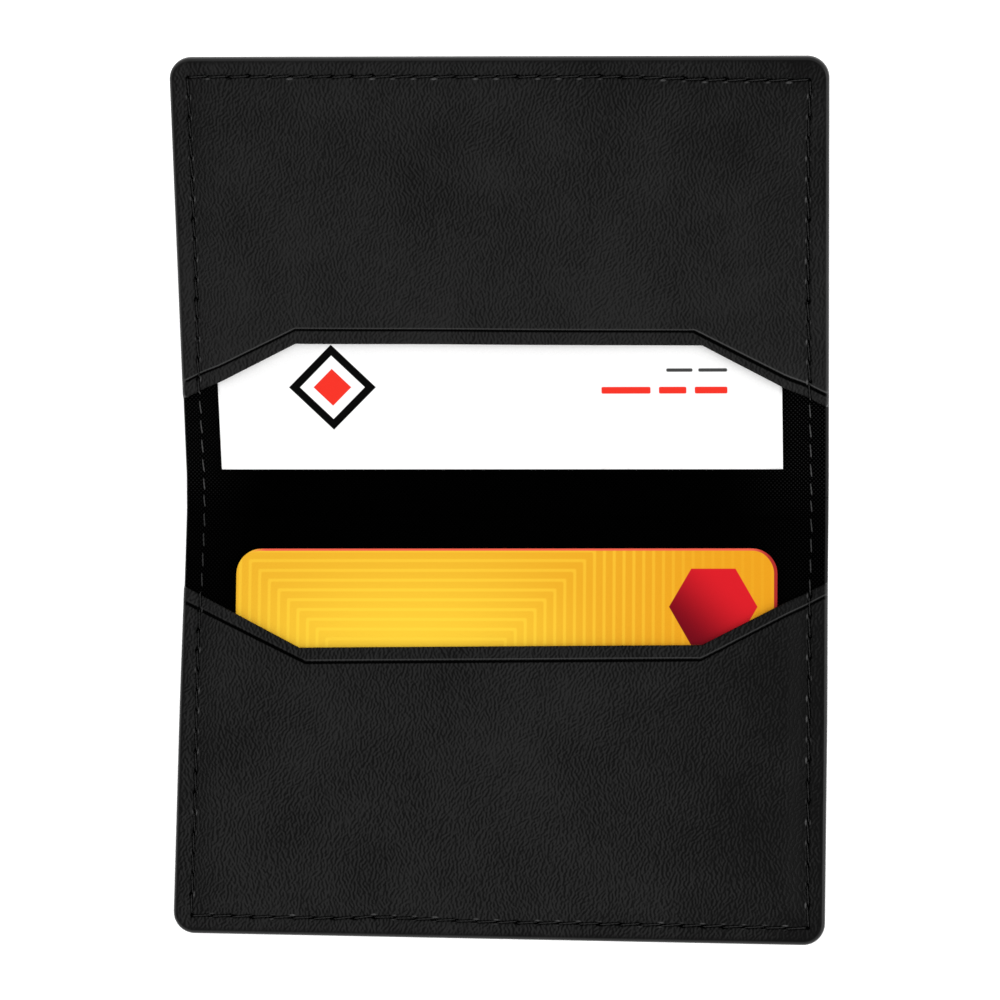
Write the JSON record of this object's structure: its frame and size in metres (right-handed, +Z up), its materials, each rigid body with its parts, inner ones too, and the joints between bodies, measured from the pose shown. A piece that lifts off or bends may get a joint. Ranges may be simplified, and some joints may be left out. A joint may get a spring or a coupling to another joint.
{
  "type": "business card case",
  "caption": "Folding leatherette case lying open, with a card pocket sewn into each stiffened half and a soft spine between them.",
  "frame": {"origin": "middle of the lower cover's outer face, which lies on the table", "axes": "+X along the fold, +Y across the fold from the lower half towards the upper half, +Z up"},
  "size_m": [0.102, 0.135, 0.0281],
  "materials": {
    "cover_leatherette": "fine grained, matt black",
    "pocket_leatherette": "fine grained, matt black",
    "lining_cloth": "plain weave, black",
    "stiffener_board": "raw grey board",
    "thread": "twisted black polyester",
    "bank_card_plastic": "laminated, satin",
    "business_card_paper": "smooth white stock"
  },
  "bodies": {
    "lower_half": {"cover_lower": "cover_leatherette", "board_lower": "stiffener_board", "lining_lower": "lining_cloth", "pocket_lower": "pocket_leatherette", "stitching_lower": "thread"},
    "spine": {"cover_spine": "cover_leatherette", "lining_spine": "lining_cloth", "stitching_spine": "thread"},
    "upper_half": {"cover_upper": "cover_leatherette", "board_upper": "stiffener_board", "lining_upper": "lining_cloth", "pocket_upper": "pocket_leatherette", "stitching_upper": "thread"},
    "bank_card": {"bank_card": "bank_card_plastic"},
    "business_card": {"business_card": "business_card_paper"}
  },
  "joints": [
    {"name": "fold_front", "type": "hinge", "parent": "lower_half", "child": "spine", "pos_m": [0, 0.03355, 0.00125], "axis": [1, 0, 0], "range_deg": [-11, 79]},
    {"name": "fold_rear", "type": "hinge", "parent": "spine", "child": "upper_half", "pos_m": [0, 0.03885, 0.00228], "axis": [1, 0, 0], "range_deg": [-11, 79]},
    {"name": "bank_card_slide", "type": "slide", "parent": "lower_half", "child": "bank_card", "axis": [0, 1, 0], "range_m": [-0.0015, 0.005]},
    {"name": "business_card_slide", "type": "slide", "parent": "upper_half", "child": "business_card", "axis": [0, -0.9272, -0.3746], "range_m": [-0.009, 0.001]}
  ]
}
